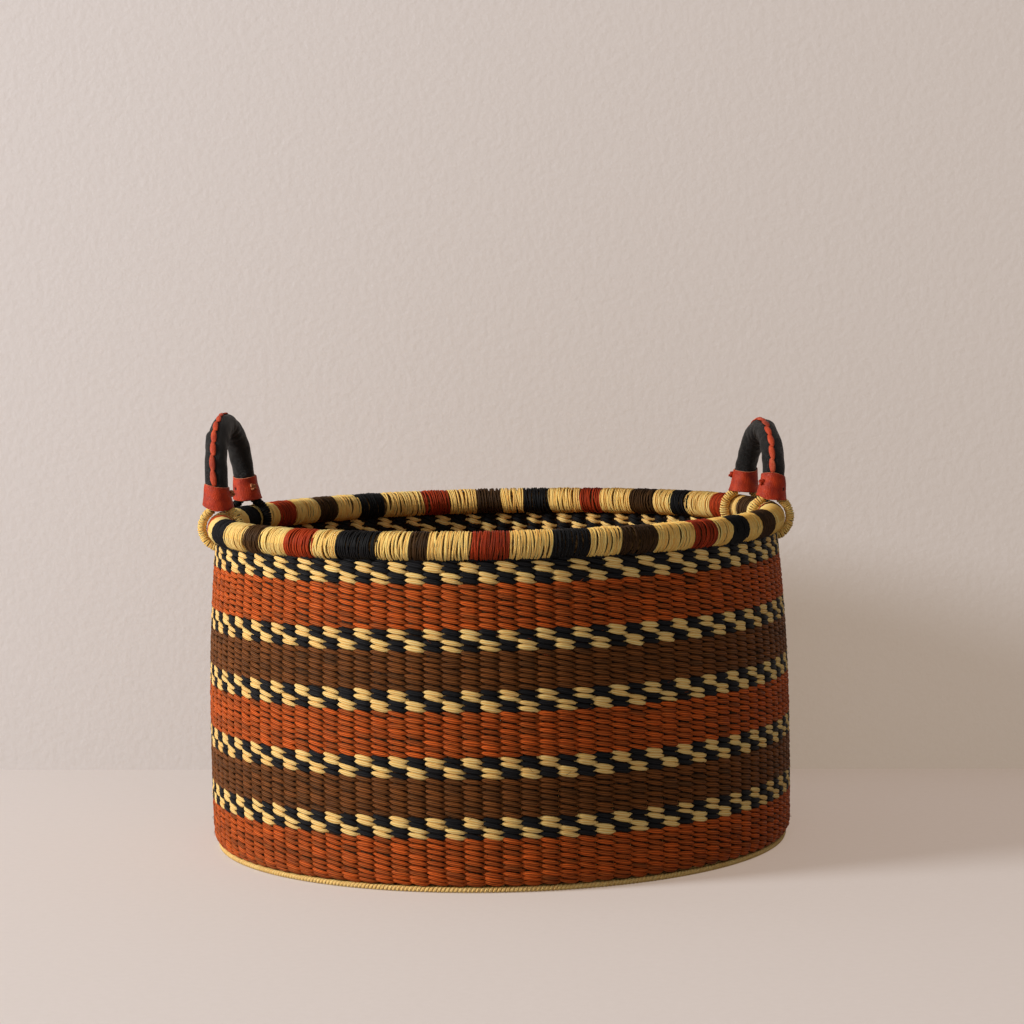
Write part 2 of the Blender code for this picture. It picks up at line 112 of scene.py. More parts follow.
# ring of section points: centre + outward * thick * a + across * wide * b for each (a, b)
def sections(centre, outward, across, thick, wide, outline):
    thick = np.broadcast_to(thick, centre.shape[:-1])[..., None, None]
    wide = np.broadcast_to(wide, centre.shape[:-1])[..., None, None]
    a = outline[:, 0][:, None]
    b = outline[:, 1][:, None]
    return centre[..., None, :] + outward[..., None, :] * thick * a + across[..., None, :] * wide * b


# ellipse of given corners, with a groove of that share along its outer face
def grassOutline(corners, groove=0.0):
    angle = np.arange(corners) * turn / corners
    a = np.cos(angle) * (1 - groove * np.exp(-(np.minimum(angle, turn - angle) / 0.5) ** 2))
    return np.stack((a, np.sin(angle)), -1)


def place(item, body, slot, *nodes):
    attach(item, body)
    if nodes:
        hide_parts(*nodes)
    return item


# materials

def addNode(tree, kind, inputs=(), **settings):
    node = tree.nodes.new("ShaderNode" + kind)
    for key, value in settings.items():
        setattr(node, key, value)
    for socket, value in dict(inputs).items():
        if isinstance(value, bpy.types.NodeSocket):
            tree.links.new(value, node.inputs[socket])
        else:
            node.inputs[socket].default_value = value
    return node


def maths(tree, operation, first, second=0.0, third=0.0, clamp=False):
    values = {0: first, 1: second, 2: third}
    return addNode(tree, "Math", values, operation=operation, use_clamp=clamp).outputs[0]


def mixColour(tree, share, first, second, blend="MIX"):
    node = addNode(tree, "Mix", data_type="RGBA", blend_type=blend)
    for socket, value in ((0, share), (6, first), (7, second)):
        if isinstance(value, bpy.types.NodeSocket):
            tree.links.new(value, node.inputs[socket])
        else:
            node.inputs[socket].default_value = value
    return node.outputs[2]


def newGroup(name, inputs, outputs):
    tree = bpy.data.node_groups.new(name, "ShaderNodeTree")
    for label, kind, value in inputs:
        socket = tree.interface.new_socket(label, in_out="INPUT", socket_type="NodeSocket" + kind)
        if kind != "Vector":
            socket.default_value = value
    for label, kind in outputs:
        tree.interface.new_socket(label, in_out="OUTPUT", socket_type="NodeSocket" + kind)
    return tree, tree.nodes.new("NodeGroupInput").outputs, tree.nodes.new("NodeGroupOutput").inputs


# dyed grass: plies twist along the strand, fibres streak it, and each stitch took the dye unevenly; the grooves between
# plies get painted shade
def makeStrawGroup():
    tree, given, result = newGroup(
        "strawGrain",
        [("Along", "Vector", None), ("Dye", "Color", dye(200, 160, 100)),
         ("Dark", "Color", dye(120, 90, 50)), ("Pale", "Color", dye(230, 200, 150)),
         ("Plies", "Float", 5.0), ("Twist", "Float", 0.3), ("Uneven", "Float", 0.6)],
        [("Colour", "Color"), ("Roughness", "Float"), ("Height", "Float")])
    split = addNode(tree, "SeparateXYZ", {0: given["Along"]})
    u, v = split.outputs[0], split.outputs[1]
    shade = addNode(tree, "Attribute", attribute_name="shade").outputs["Fac"]
    twisted = maths(tree, "MULTIPLY_ADD", v, given["Plies"], maths(tree, "MULTIPLY", u, given["Twist"]))
    ply = maths(tree, "MULTIPLY", maths(tree, "PINGPONG", twisted, 0.5), 2.0)
    crest = maths(tree, "POWER", ply, 0.7)
    seed = maths(tree, "MULTIPLY", shade, 61.0)
    fibrePlace = addNode(tree, "CombineXYZ", {
        0: maths(tree, "MULTIPLY", u, 1.6), 1: maths(tree, "MULTIPLY", twisted, 4.0), 2: seed})
    fibre = addNode(tree, "TexNoise", {"Vector": fibrePlace.outputs[0], "Scale": 1.0, "Detail": 3.0})
    patchPlace = addNode(tree, "CombineXYZ", {
        0: maths(tree, "MULTIPLY", u, 0.45), 1: maths(tree, "MULTIPLY", v, 1.5), 2: seed})
    patch = addNode(tree, "TexNoise", {"Vector": patchPlace.outputs[0], "Scale": 1.0, "Detail": 1.0})
    streak = maths(tree, "MULTIPLY_ADD", fibre.outputs["Fac"], 2.2, -0.6, clamp=True)
    uptake = maths(tree, "MULTIPLY_ADD", shade, given["Uneven"], maths(
        tree, "MULTIPLY_ADD", patch.outputs["Fac"], 0.9, -0.25), clamp=True)
    body = mixColour(tree, uptake, given["Dark"], given["Dye"])
    streaked = mixColour(tree, maths(tree, "MULTIPLY", streak, 0.35), body, given["Pale"])
    # painted shade: the groove between two plies is multiplied by the dark colour, where shade would fall
    groove = maths(tree, "SUBTRACT", 1.0, crest)
    paintedGrooveShade = mixColour(tree, groove, streaked, given["Dark"], "MULTIPLY")
    tree.links.new(paintedGrooveShade, result["Colour"])
    tree.links.new(maths(tree, "MULTIPLY_ADD", fibre.outputs["Fac"], -0.3, 0.78), result["Roughness"])
    tree.links.new(maths(tree, "MULTIPLY_ADD", fibre.outputs["Fac"], 0.5, crest), result["Height"])
    return tree


# leather: pebbled cells and pores over soft patches, paler where it rubs and at its cut edges, and near-black in holes
# as painted shade
def makeLeatherGroup():
    tree, given, result = newGroup(
        "leatherGrain",
        [("Place", "Vector", None), ("Hide", "Color", dye(60, 56, 54)),
         ("Deep", "Color", dye(30, 28, 27)), ("Raw", "Color", dye(205, 165, 140)),
         ("Cells", "Float", 900.0), ("Wear", "Float", 0.3)],
        [("Colour", "Color"), ("Roughness", "Float"), ("Height", "Float")])
    # above zero this marks pale cut edges; below zero it marks holes that get painted shade
    edge = addNode(tree, "Attribute", attribute_name="shade").outputs["Fac"]
    warp = addNode(tree, "TexNoise", {"Vector": given["Place"], "Scale": 160.0, "Detail": 4.0})
    cells = addNode(tree, "TexVoronoi", {"Vector": given["Place"], "Scale": given["Cells"]},
                    feature="DISTANCE_TO_EDGE")
    pebble = maths(tree, "MULTIPLY", cells.outputs["Distance"], 3.5, clamp=True)
    fine = addNode(tree, "TexNoise", {"Vector": given["Place"], "Scale": 1500.0, "Detail": 2.0})
    patches = maths(tree, "MULTIPLY_ADD", warp.outputs["Fac"], 2.0, -0.5, clamp=True)
    base = mixColour(tree, patches, given["Deep"], given["Hide"])
    rub = maths(tree, "MULTIPLY", maths(tree, "MULTIPLY_ADD", fine.outputs["Fac"], 3.0, -1.6, clamp=True),
                given["Wear"])
    worn = mixColour(tree, rub, base, given["Raw"])
    bare = maths(tree, "MULTIPLY_ADD", warp.outputs["Fac"], 0.8, maths(
        tree, "MULTIPLY_ADD", edge, 1.6, -0.9), clamp=True)
    # painted shade: where the attribute is below zero, the hole is coloured near-black
    paintedHoleShade = maths(tree, "MULTIPLY", edge, -1.0, clamp=True)
    edged = mixColour(tree, bare, worn, given["Raw"])
    tree.links.new(mixColour(tree, paintedHoleShade, edged, dye(16, 9, 7)), result["Colour"])
    rough = maths(tree, "MULTIPLY_ADD", pebble, -0.14, 0.60)
    tree.links.new(maths(tree, "MULTIPLY_ADD", bare, 0.3, rough, clamp=True), result["Roughness"])
    height = maths(tree, "MULTIPLY_ADD", fine.outputs["Fac"], 0.25, pebble)
    tree.links.new(maths(tree, "MULTIPLY_ADD", warp.outputs["Fac"], 0.8, height), result["Height"])
    return tree


strawGroup = makeStrawGroup()
leatherGroup = makeLeatherGroup()


def newMaterial(name):
    material = bpy.data.materials.new(name)
    material.use_nodes = True
    return material, material.node_tree, material.node_tree.nodes["Principled BSDF"]


def finishMaterial(tree, shader, group, bump):
    tree.links.new(group.outputs["Colour"], shader.inputs["Base Color"])
    tree.links.new(group.outputs["Roughness"], shader.inputs["Roughness"])
    relief = addNode(tree, "Bump", {"Height": group.outputs["Height"], "Distance": bump, "Strength": 0.8})
    tree.links.new(relief.outputs[0], shader.inputs["Normal"])


def straw(name, colour, dark, pale, plies=7.0, twist=0.3, uneven=0.6, bump=0.4 * mm, coords="UV"):
    material, tree, shader = newMaterial(name)
    along = addNode(tree, "TexCoord").outputs[coords]
    if coords == "Object":
        along = addNode(tree, "Mapping", {0: along, 3: (75, 75, 75)}).outputs[0]
    group = addNode(tree, "Group", node_tree=strawGroup)
    values = {"Along": along, "Dye": dye(*colour), "Dark": dye(*dark), "Pale": dye(*pale),
              "Plies": plies, "Twist": twist, "Uneven": uneven}
    for socket, value in values.items():
        if isinstance(value, bpy.types.NodeSocket):
            tree.links.new(value, group.inputs[socket])
        else:
            group.inputs[socket].default_value = value
    shader.inputs["Specular IOR Level"].default_value = 0.12
    finishMaterial(tree, shader, group, bump)
    return material


def leather(name, hide, deep, raw, wear, cells=900.0, bump=0.2 * mm):
    material, tree, shader = newMaterial(name)
    group = addNode(tree, "Group", node_tree=leatherGroup)
    tree.links.new(addNode(tree, "TexCoord").outputs["Object"], group.inputs["Place"])
    values = {"Hide": dye(*hide), "Deep": dye(*deep), "Raw": dye(*raw), "Cells": cells, "Wear": wear}
    for socket, value in values.items():
        group.inputs[socket].default_value = value
    shader.inputs["Specular IOR Level"].default_value = 0.25
    finishMaterial(tree, shader, group, bump)
    return material


# each straw's dark colour is its uneven dye, and it is also the painted shade in the grooves between plies
creamStitch = straw("creamStitch", (255, 230, 150), (236, 188, 102), (255, 248, 208))
blackStitch = straw("blackStitch", (26, 26, 31), (9, 9, 10), (60, 57, 56))
rustStitch = straw("rustStitch", (240, 97, 23), (80, 19, 2), (255, 158, 74), uneven=0.9)
brownStitch = straw("brownStitch", (140, 74, 27), (28, 12, 3), (200, 131, 66), uneven=0.9)
# painted shade: the stakes are this dark so that they read as shade in the gaps between strands; the stray hairs use it
# as plain dark straw
darkStrawAndGapShade = straw("darkStrawAndGapShade", (70, 42, 20), (34, 18, 7), (120, 80, 42))
coreStraw = straw("coreStraw", (166, 124, 66), (98, 66, 32), (206, 166, 104), coords="Object")
rimCream = straw("rimCream", (255, 236, 150), (240, 188, 90), (255, 250, 205), plies=3.0, uneven=0.7)
rimBlack = straw("rimBlack", (28, 27, 28), (10, 10, 11), (54, 52, 52), plies=3.0)
rimBrown = straw("rimBrown", (90, 57, 25), (32, 17, 6), (132, 96, 56), plies=3.0)
rimRed = straw("rimRed", (210, 66, 22), (118, 26, 6), (226, 116, 60), plies=3.0, uneven=0.8)
blackLeather = leather("blackLeather", (29, 27, 25), (12, 11, 10), (92, 84, 78), 0.12, bump=0.5 * mm)
redLeather = leather("redLeather", (200, 60, 10), (134, 26, 2), (232, 160, 118), 0.06, cells=700.0)
laceLeather = leather("laceLeather", (220, 84, 42), (168, 46, 18), (240, 164, 124), 0.3)
thongLeather = leather("thongLeather", (206, 130, 84), (150, 82, 44), (236, 196, 158), 0.5)
print("materials ready")


# camera, floor, wall and light

stageSettings = {
    "eye": (0.0, -2.2, 0.4235), "pitch": 4.4977, "yaw": 0.322, "roll": -1.17, "lens": 100.86,
    "wallAt": 0.30, "wallSlope": -0.12,  # the wall runs a little towards the camera to the right
    # albedo, what the camera sees on top of the lit colour, its strength, and the grain's relief
    "floor": ((178, 178, 180), (211, 184, 162), 0.50, 0.12 * mm),
    "wall": ((168, 168, 174), (212, 187, 161), 0.48, 0.6 * mm),
}


def addCamera():
    data = bpy.data.cameras.new("camera")
    data.sensor_width = 36.0
    data.lens = stageSettings["lens"]
    camera = bpy.data.objects.new("camera", data)
    camera.location = stageSettings["eye"]
    pitch, yaw, roll = (math.radians(stageSettings[key]) for key in ("pitch", "yaw", "roll"))
    level = Euler((math.pi / 2 - pitch, 0, -yaw)).to_matrix()
    camera.rotation_euler = (level @ Matrix.Rotation(roll, 3, "Z")).to_euler()
    bpy.context.scene.collection.objects.link(camera)
    bpy.context.scene.camera = camera


def plainSheet(name, corners, look, oneSided):
    colour, haze, glow, grainDepth = look
    mesh = bpy.data.meshes.new(name)
    mesh.from_pydata(corners, [], [(0, 1, 2, 3)])
    material, tree, shader = newMaterial(name)
    shader.inputs["Roughness"].default_value = 0.9
    shader.inputs["Specular IOR Level"].default_value = 0.1
    grain = addNode(tree, "TexNoise", {
        "Vector": addNode(tree, "TexCoord").outputs["Object"], "Scale": 170.0, "Detail": 4.0})
    tint = mixColour(tree, grain.outputs["Fac"], dye(*[c - 3 for c in colour]), dye(*[c + 3 for c in colour]))
    tree.links.new(tint, shader.inputs["Base Color"])
    relief = addNode(tree, "Bump", {"Height": grain.outputs["Fac"], "Distance": grainDepth})
    tree.links.new(relief.outputs[0], shader.inputs["Normal"])
    path = addNode(tree, "LightPath").outputs
    seen = maths(tree, "MAXIMUM", path["Is Camera Ray"], maths(
        tree, "MAXIMUM", path["Is Glossy Ray"], path["Is Transmission Ray"]))
    pale = addNode(tree, "Emission", {0: dye(*haze), 1: maths(tree, "MULTIPLY", seen, glow)})
    shown = addNode(tree, "AddShader", {0: shader.outputs[0], 1: pale.outputs[0]}).outputs[0]
    if oneSided:  # seen from behind the wall isn't there
        clear = addNode(tree, "BsdfTransparent")
        behind = addNode(tree, "NewGeometry").outputs["Backfacing"]
        shown = addNode(tree, "MixShader", {0: behind, 1: shown, 2: clear.outputs[0]}).outputs[0]
    tree.links.new(shown, tree.nodes["Material Output"].inputs[0])
    mesh.materials.append(material)
    item = bpy.data.objects.new(name, mesh)
    bpy.context.scene.collection.objects.link(item)


def addLamp(name, place, aim, size, power, colour):
    data = bpy.data.lights.new(name, "AREA")
    data.shape = "DISK"
    data.size = size
    data.energy = power
    data.color = colour
    lamp = bpy.data.objects.new(name, data)
    lamp.location = place
    lamp.rotation_euler = (Vector(aim) - Vector(place)).to_track_quat("-Z", "Y").to_euler()
    bpy.context.scene.collection.objects.link(lamp)


def addStage():
    back = stageSettings["wallAt"]
    slope = 4 * stageSettings["wallSlope"]
    plainSheet("floor", [(-4, -4, 0), (4, -4, 0), (4, 4, 0), (-4, 4, 0)],
               stageSettings["floor"], False)
    left, right = (-4, back - slope), (4, back + slope)
    plainSheet("backWall", [(*left, 0), (*right, 0), (*right, 3), (*left, 3)],
               stageSettings["wall"], True)
    addLamp("windowLeft", (-3.6, -1.15, 1.8), (0, 0, 0.12), 1.3, 172, (1.0, 0.985, 0.97))
    addLamp("roomFront", (0.3, -3.0, 1.9), (0, 0, 0.1), 2.4, 13, (1.0, 0.98, 0.96))
    world = bpy.data.worlds.new("room")
    world.use_nodes = True
    world.node_tree.nodes["Background"].inputs["Color"].default_value = (0.80, 0.77, 0.75, 1)
    world.node_tree.nodes["Background"].inputs["Strength"].default_value = 0.2
    bpy.context.scene.world = world
    bpy.context.scene.view_settings.view_transform = "Standard"


addCamera()
addStage()
print("camera, floor and light ready")


# wall weave

wall = {
    "belly": 223.0 * mm, "bellyHeight": 85.0 * mm, "mouthDraw": 7.4 * mm, "footDraw": 1.0 * mm,
    "top": 232.9 * mm, "corner": 12.0 * mm, "cornerHeight": 13.2 * mm, "cornerTurn": 0.786,
    "stakes": 104, "depth": 3.3 * mm, "stakeThick": 0.7 * mm, "stakeWide": (1.2 * mm, 6.55 * mm),
}
stitch = {
    "samples": 6, "swing": 2.1 * mm, "drop": 1.95 * mm, "halfWidth": 2.0 * mm,
    "halfThick": 1.25 * mm, "neck": 0.0, "corners": 8, "groove": 0.2,
}
# a strand through one stitch outside and one inside, by stitches from the float's middle:
# how far out it is, how far it has dropped, and how full it is
floatShares = {
    "place": [0.0, 0.17, 0.34, 0.5, 0.66, 0.83, 1.0, 1.17, 1.34, 1.5, 1.66, 1.83, 2.0],
    "out": [1.0, 0.98, 0.90, 0.48, -0.30, -0.90, -1.0, -0.90, -0.30, 0.48, 0.90, 0.98, 1.0],
    "fall": [0.0, 0.24, 0.48, 0.72, 0.86, 0.52, 0.0, -0.52, -0.86, -0.72, -0.48, -0.24, 0.0],
    "full": [1.0, 0.97, 0.80, 0.56, 0.62, 0.95, 1.2, 0.95, 0.62, 0.56, 0.80, 0.97, 1.0],
}
loopFeet = {  # azimuth of each foot loop
    "right_loop_a": math.radians(-3), "right_loop_b": math.radians(21),
    "left_loop_a": math.radians(159), "left_loop_b": math.radians(183),
}


# outer radius: a parabola above the belly, a cubic below it
def wallRadius(height):
    above = np.clip((height - wall["bellyHeight"]) / (wall["top"] - wall["bellyHeight"]), 0, None)
    below = np.clip(1 - height / wall["bellyHeight"], 0, None)
    return wall["belly"] - wall["mouthDraw"] * above ** 2 - wall["footDraw"] * below ** 3


cornerCentre = float(wallRadius(np.array(wall["cornerHeight"]))) - wall["corner"]


# level is the distance up the wall; under the corner's height it runs round the corner's arc.
# Returns the outer face's radius and height, and the angle of its normal above the horizontal.
def wallFace(level):
    slope = (wallRadius(level + mm) - wallRadius(level - mm)) / (2 * mm)
    bend = np.clip((wall["cornerHeight"] - level) / wall["corner"], 0, None)
    onWall = bend == 0
    radius = np.where(onWall, wallRadius(level), cornerCentre + wall["corner"] * np.cos(bend))
    height = np.where(onWall, level, wall["cornerHeight"] - wall["corner"] * np.sin(bend))
    return radius, height, np.where(onWall, -np.arctan(slope), -bend)


# the rows part where a foot loop goes through: levels over the low one are pressed towards it
def pressedLevel(level, azimuth):
    low = 205.0 * mm
    gap = 0.0
    for foot in loopFeet.values():
        arc = wrapAngle(azimuth - foot) * 215 * mm
        gap = gap + np.exp(-(arc / (6.5 * mm)) ** 4)
    return np.where(level > low, low + (level - low) * (1 - 0.29 * gap), level)


# Two strands a row. Along a row s counts stakes, and strand p is outside where s - p is even.
# offset = swing * out and level = row - drop * fall, both read from the shares by s - p, so each
# float slants down to the right outside, ends in a point under the next, and comes up inside.
def twinedRows(face, levels, stakes, rng, look):
    samples = look["samples"]
    strands = 2 * len(levels)
    step = np.arange(stakes * samples)
    s = step / samples - 0.5
    stitchOf = step // samples
    azimuth = (s + 0.5) * turn / stakes
    phase = np.mod(s[None] - (np.arange(strands) % 2)[:, None], 2)
    swingShare, dropShare, full = (
        np.interp(phase, floatShares["place"], floatShares[key]) for key in ("out", "fall", "full"))
    jitter = rng.normal(0, 1, (4, strands, stakes))[:, :, stitchOf]
    wave = sum(rng.normal(0, 0.11 * mm, (len(levels), 1)) * np.sin(
        k * azimuth[None] + rng.uniform(0, turn, (len(levels), 1))) for k in (3, 5, 8, 13))
    level = np.repeat(np.asarray(levels)[:, None] + wave, 2, axis=0)
    level = level - look["drop"] * dropShare * (1 + 0.16 * jitter[0]) + 0.13 * mm * jitter[1]
    radius, height, tilt = face(level, azimuth[None])
    offset = -look.get("depth", wall["depth"]) + look["swing"] * swingShare * (1 + 0.05 * jitter[2])
    reach = radius + np.cos(tilt) * offset
    centre = np.stack((
        reach * np.cos(azimuth), reach * np.sin(azimuth), height + np.sin(tilt) * offset), -1)
    outward = np.stack((
        np.cos(tilt) * np.cos(azimuth), np.cos(tilt) * np.sin(azimuth), np.sin(tilt)), -1)
    along = unit(np.roll(centre, -1, axis=1) - np.roll(centre, 1, axis=1))
    across = unit(np.cross(along, outward))
    outward = np.cross(across, along)
    full = look["neck"] + (1 - look["neck"]) * full
    wide = look["halfWidth"] * full * (1 + 0.09 * jitter[3])
    thick = look["halfThick"] * (0.6 + 0.4 * full)
    outline = grassOutline(look["corners"], look["groove"])
    length = rng.integers(5, 16, (strands, stakes)).cumsum(axis=1)
    strawNumber = (length[:, :, None] <= np.arange(stakes)[None, None]).sum(axis=1)
    tone = np.take_along_axis(rng.uniform(0, 1, (strands, stakes)), strawNumber, axis=1)
    shade = 0.55 * tone[:, stitchOf] + 0.45 * rng.uniform(0, 1, (strands, stakes))[:, stitchOf]
    return sections(centre, outward, across, thick, wide, outline), shade


bands = [  # node, rows, top and bottom level
    ("check_band_1", 4, 232.9, 217.8), ("rust_band_1", 8, 217.8, 185.9),
    ("check_band_2", 4, 185.9, 170.8), ("brown_band_1", 7, 170.8, 143.4),
    ("check_band_3", 4, 143.4, 128.3), ("rust_band_2", 8, 128.3, 96.4),
    ("check_band_4", 4, 96.4, 81.3), ("brown_band_2", 7, 81.3, 53.9),
    ("check_band_5", 4, 53.9, 38.8), ("rust_band_3", 9, 38.8, 3.9),
]


def wallBandFace(level, azimuth):
    return wallFace(pressedLevel(level, azimuth))


def weaveWall():
    for seed, (node, rows, top, bottom) in enumerate(bands):
        rng = np.random.default_rng(100 + seed)
        pitch = (top - bottom) / rows
        levels = (top - pitch * (np.arange(rows) + 0.5)) * mm
        kind = node.split("_")[0]
        look = dict(stitch)
        if kind != "check":  # the plain bands are of thinner grass
            look["halfWidth"] = 1.82 * mm
        points, shade = twinedRows(wallBandFace, levels, wall["stakes"], rng, look)
        slots = np.zeros(2 * rows, int)
        if kind == "check":  # cream and black take turns; the lower two rows are one stitch on
            finishes = [creamStitch, blackStitch]
            slots = (np.arange(2 * rows) + (np.arange(2 * rows) // 4)) % 2
        else:
            finishes = [rustStitch if kind == "rust" else brownStitch]
        item = strandObject(
            "weave_" + node, points, True, finishes, shade, stitchLength / stitch["samples"], slots)
        place(item, "basket", kind + "_straw", node)
    # one dark row, mostly inside the rim, locks the stakes
    points, shade = twinedRows(
        wallBandFace, [234.9 * mm], wall["stakes"], np.random.default_rng(99), stitch)
    item = strandObject("locking_row", points, True, [blackStitch], shade, stitchLength / stitch["samples"])
    place(item, "basket", "check_straw")
    print("wall woven:", sum(rows for _, rows, _, _ in bands), "rows")


weaveWall()


# stakes and base

base = {
    "depth": 3.0 * mm, "faceHeight": 0.1 * mm, "edgeCord": 216.7 * mm, "cordRadius": 2.2 * mm,
    "rings": [(8, 2.5, 14.5, 3), (14, 19.0, 28.5, 3), (26, 33.0, 56.5, 6),
              (52, 61.0, 111.0, 12), (104, 115.6, 161.0, 11), (104, 165.5, 212.0, 11)],
}
baseStitch = {
    "samples": 4, "swing": 1.45 * mm, "drop": 1.2 * mm, "halfWidth": 2.7 * mm,
    "halfThick": 1.05 * mm, "neck": 0.3, "corners": 5, "groove": 0.1, "depth": base["depth"],
}


# under the base the outer face is flat: level is the distance from the middle
def baseFace(level, azimuth):
    return level, np.full(level.shape, base["faceHeight"]), np.full(level.shape, -math.pi / 2)


def weaveBase():
    for number, (stakes, inner, outer, rows) in enumerate(base["rings"]):
        rng = np.random.default_rng(300 + number)
        look = dict(baseStitch)
        shortness = min(1.0, turn * inner * mm / stakes / (9 * mm))
        look["drop"] = look["drop"] * shortness
        levels = np.linspace(inner, outer, rows) * mm
        points, shade = twinedRows(baseFace, levels, stakes, rng, look)
        item = strandObject(
            f"weave_base_{number + 1}", points, True, [creamStitch, brownStitch], shade,
            stitchLength / look["samples"])
        place(item, "basket", "straw", *(["base_mat"] if number == 0 else []))
    print("base woven")


# A stake runs out along the base, round the corner and up between the strands into the rim. On
# the wall it is a flat bundle, which narrows again beside a foot loop.
def addStakes():
    count = wall["stakes"]
    number = np.arange(count)
    start = np.select(
        [number % 8 == 0, number % 8 == 4, number % 4 == 2], [3.0 * mm, 28.0 * mm, 58.0 * mm], 113.0 * mm)
    share = np.linspace(0, 1, 9)[:-1]
    flat = start[:, None] + (cornerCentre - start[:, None]) * share
    bend = np.linspace(math.pi / 2, 0, 6)
    lift = wall["corner"] - wall["depth"]
    rise = np.linspace(wall["cornerHeight"], 238.0 * mm, 15)[1:]
    cornerReach = np.broadcast_to(cornerCentre + lift * np.cos(bend), (count, 6))
    wallReach = np.broadcast_to(wallRadius(rise) - wall["depth"], (count, 14))
    reach = np.concatenate((flat, cornerReach, wallReach), 1)
    low = base["depth"] + 1.5 * mm * smoothStep(195 * mm, 210 * mm, flat)
    cornerHeight = np.broadcast_to(wall["cornerHeight"] - lift * np.sin(bend), (count, 6))
    height = np.concatenate((low, cornerHeight, np.broadcast_to(rise, (count, 14))), 1)
    azimuth = ((number + 0.5) * turn / count)[:, None]
    height = np.where(height > 205 * mm, pressedLevel(height, azimuth), height)
    centre = np.stack((reach * np.cos(azimuth), reach * np.sin(azimuth), height), -1)
    along = unit(np.gradient(centre, axis=1))
    side = np.stack((-np.sin(azimuth), np.cos(azimuth), np.zeros_like(azimuth)), -1)
    side = np.broadcast_to(side, centre.shape)
    outward = unit(np.cross(side, along))
    rng = np.random.default_rng(7)
    narrow, wide = wall["stakeWide"]
    fromLoop = np.min([np.abs(wrapAngle(azimuth - foot)) for foot in loopFeet.values()], axis=0)
    besideLoop = smoothStep(214 * mm, 222 * mm, height) * (fromLoop * 215 * mm < 9 * mm)
    onWall = smoothStep(198 * mm, 212 * mm, reach) * (1 - besideLoop)
    points = sections(
        centre, outward, side, wall["stakeThick"], narrow + (wide - narrow) * onWall, grassOutline(8))
    points = points[:, :, ::-1]
    # the stakes take the dark straw that stands in for the shade in the gaps
    item = strandObject("stakes", points, False, [darkStrawAndGapShade], rng.uniform(0, 1, count), 12 * mm)
    place(item, "basket", "straw", "stake_frame")


# short hairs that stand up from the weave: foot + length * (share * heading + 0.25 * sin(2.4 share) * out)
def addStrays():
    count = 340
    rng = np.random.default_rng(9)
    azimuth = rng.uniform(0, turn, count)[:, None]
    level = rng.uniform(8 * mm, 228 * mm, count)[:, None]
    radius, height, _ = wallFace(level)
    share = np.linspace(0, 1, 6)[None]
    length = rng.uniform(2.0, 6.5, count)[:, None] * mm
    heading = rng.normal(0, 0.5, count)[:, None]
    reach = radius - 1.2 * mm + length * 0.3 * np.sin(2.4 * share)
    azimuth = azimuth + length * share * np.cos(heading) / wall["belly"]
    rise = height + length * share * np.sin(heading)
    centre = np.stack((reach * np.cos(azimuth), reach * np.sin(azimuth), rise), -1)
    along = unit(np.gradient(centre, axis=1))
    side = unit(np.cross(along, centre * (1, 1, 0)))
    outward = np.cross(side, along)
    thick = 0.17 * mm * (1 - 0.6 * share)
    points = sections(centre, outward, side, thick, thick, grassOutline(4))
    item = strandObject("stray_fibres", points, False, [darkStrawAndGapShade, rustStitch], rng.uniform(0, 1, count), 1 * mm,
                        rng.integers(0, 2, count))
    place(item, "basket", "straw")


# two strands twisted round each other: each centre circles the cord's own line
def addEdgeCord():
    twists, samples = 226, 8
    steps = twists * samples
    azimuth = np.arange(steps) * turn / steps
    swirl = np.arange(steps)[None] * turn / samples + np.array([[0.0], [math.pi]])
    radius = base["cordRadius"]
    reach = base["edgeCord"] + 0.5 * radius * np.cos(swirl)
    height = radius + 0.1 * mm + 0.5 * radius * np.sin(swirl)
    centre = np.stack((reach * np.cos(azimuth), reach * np.sin(azimuth), height), -1)
    along = unit(np.roll(centre, -1, 1) - np.roll(centre, 1, 1))
    outward = np.stack((
        np.cos(swirl) * np.cos(azimuth), np.cos(swirl) * np.sin(azimuth), np.sin(swirl)), -1)
    across = unit(np.cross(along, outward))
    points = sections(centre, np.cross(across, along), across, 0.52 * radius, 0.62 * radius, grassOutline(6))
    rng = np.random.default_rng(8)
    shade = np.repeat(rng.uniform(0.3, 1, (2, twists)), samples, 1)
    item = strandObject("edge_cord", points, True, [creamStitch], shade, 0.75 * mm)
    place(item, "basket", "straw", "base_edge_cord")


weaveBase()
addStakes()
addEdgeCord()
addStrays()


# rim binding

rim = {
    "radius": 210.5 * mm, "height": 243.7 * mm, "coil": 9.6 * mm, "swell": 0.5 * mm,
    "pitch": 1.22 * mm, "halfWidth": 0.76 * mm, "halfThick": 0.76 * mm, "samples": 16,
    "lean": 1.2 * mm, "underlay": 0.2 * mm,
    # where blocks start, in degrees counter-clockwise from +X, measured in the photograph
    "edges": [0.0, 5.0, 11.5, 18.6, 26.0, 31.2, 39.9, 45.0, 50.0, 56.7, 64.6, 69.9, 77.4, 83.6, 88.7,
              94.5, 101.1, 107.3, 117.0, 123.9, 130.4, 135.9, 143.5, 149.6, 158.5, 165.5, 172.0, 178.5,
              183.5, 188.5, 195.0, 204.4, 212.7, 218.9, 226.2, 233.1, 238.7, 247.4, 253.7, 257.2, 265.1,
              272.2, 280.1, 287.3, 293.7, 301.0, 310.1, 316.2, 320.8, 327.0, 332.6, 340.6, 357.0, 358.5],
}


